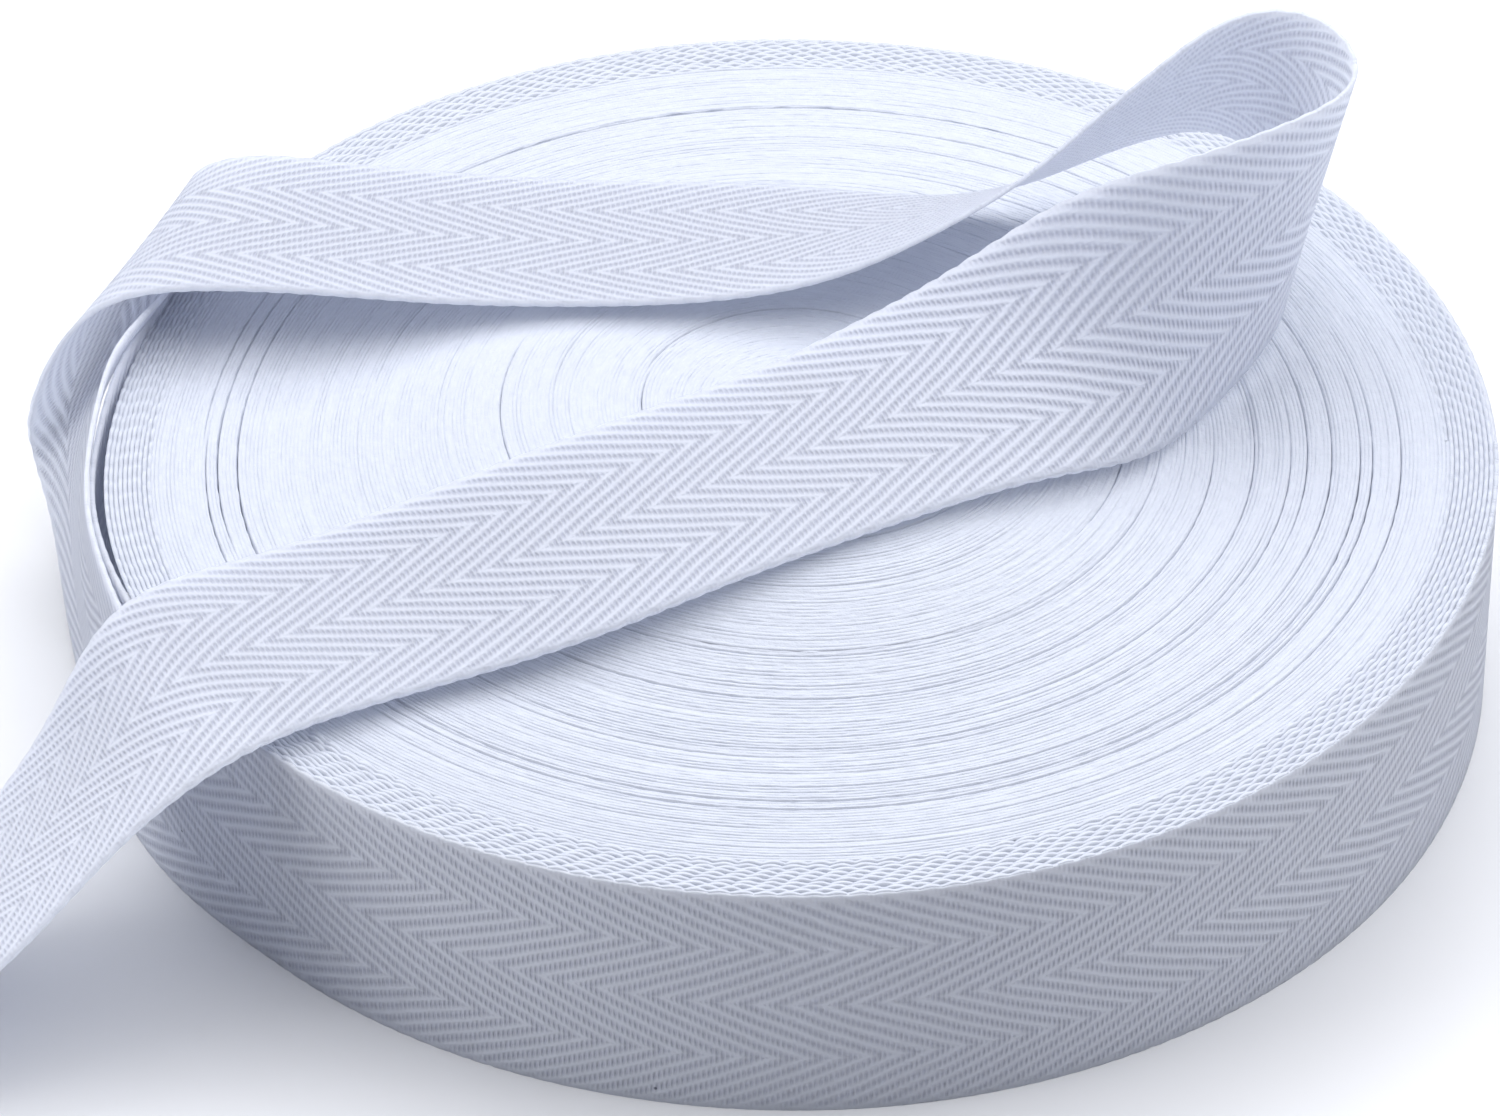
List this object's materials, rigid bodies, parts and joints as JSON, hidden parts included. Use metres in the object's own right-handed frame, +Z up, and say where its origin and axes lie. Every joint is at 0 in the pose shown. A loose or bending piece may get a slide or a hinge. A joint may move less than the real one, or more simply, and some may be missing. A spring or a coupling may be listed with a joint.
{
  "type": "roll of cotton herringbone tape",
  "caption": "Flat roll of white woven herringbone cotton tape, its loose end folded over the top, standing up in a loop and trailing to the table.",
  "frame": {"origin": "centre of the roll's flat underside, on the surface it lies on", "axes": "+Z up along the roll's axis, +X to the right along the longest extent with the loose end trailing to -X, +Y towards the back"},
  "size_m": [0.1764, 0.1423, 0.0565],
  "materials": {
    "roll_cotton": "matt woven cotton, edges of the turns",
    "loose_end_cotton": "matt woven cotton herringbone"
  },
  "bodies": {
    "root": {"roll": "roll_cotton", "loose_end": "loose_end_cotton"}
  },
  "joints": []
}
